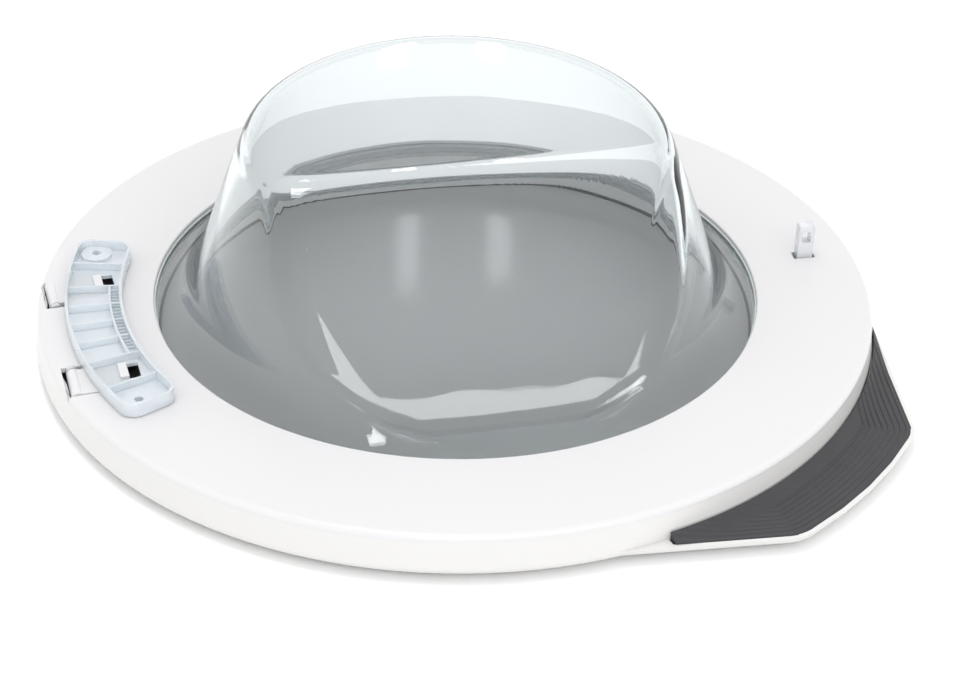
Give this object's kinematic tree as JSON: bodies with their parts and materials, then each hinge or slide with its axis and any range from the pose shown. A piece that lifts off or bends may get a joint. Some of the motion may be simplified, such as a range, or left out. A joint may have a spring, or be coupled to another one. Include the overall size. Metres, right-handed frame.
{
  "type": "washing machine door",
  "caption": "Round washing machine door lying face down, with a domed glass bowl, hinge leaf, sprung latch hook and a ribbed corner grip.",
  "frame": {"origin": "centre of the round outer face, on the plane that the door lies on", "axes": "+Z from the outer face toward the machine, up through the glass bowl; -X toward the hinge, +X toward the latch hook; the bowl is deepest toward +Y"},
  "size_m": [0.4592, 0.4708, 0.1298],
  "materials": {
    "white_plastic": "gloss",
    "grip_plastic": "satin, ribbed",
    "smoked_window": "polished",
    "rubber": "matt",
    "pale_silicone": "satin",
    "glass": "polished",
    "clear_plastic": "polished",
    "grey_plastic": "satin",
    "zinc_steel": "zinc plated"
  },
  "bodies": {
    "door": {"front_frame": "white_plastic", "handle_grip": "grip_plastic", "front_window": "smoked_window", "window_gasket": "rubber", "inner_ring": "white_plastic", "inner_ring_screws": "zinc_steel", "bowl_seal": "pale_silicone", "glass_bowl": "glass", "back_frame": "white_plastic", "hinge_pins": "zinc_steel", "hinge_bracket": "zinc_steel", "bracket_screws": "zinc_steel", "latch_pin": "zinc_steel", "latch_spring": "zinc_steel", "latch_housing": "grey_plastic", "latch_screws": "zinc_steel"},
    "hinge": {"hinge_leaf": "clear_plastic", "hinge_arm_upper": "white_plastic", "hinge_arm_lower": "white_plastic"},
    "hook": {"latch_hook": "clear_plastic"}
  },
  "joints": [
    {"name": "leaf_hinge", "type": "hinge", "parent": "door", "child": "hinge", "pos_m": [-0.2155, 0, 0.0248], "axis": [0, -1, 0], "range_deg": [0, 90]},
    {"name": "hook_pivot", "type": "hinge", "parent": "door", "child": "hook", "pos_m": [0.19792, -0.02255, 0.017], "axis": [0.1132, 0.9936, 0], "range_deg": [0, 8], "stiffness_Nm_per_rad": 0.3}
  ]
}
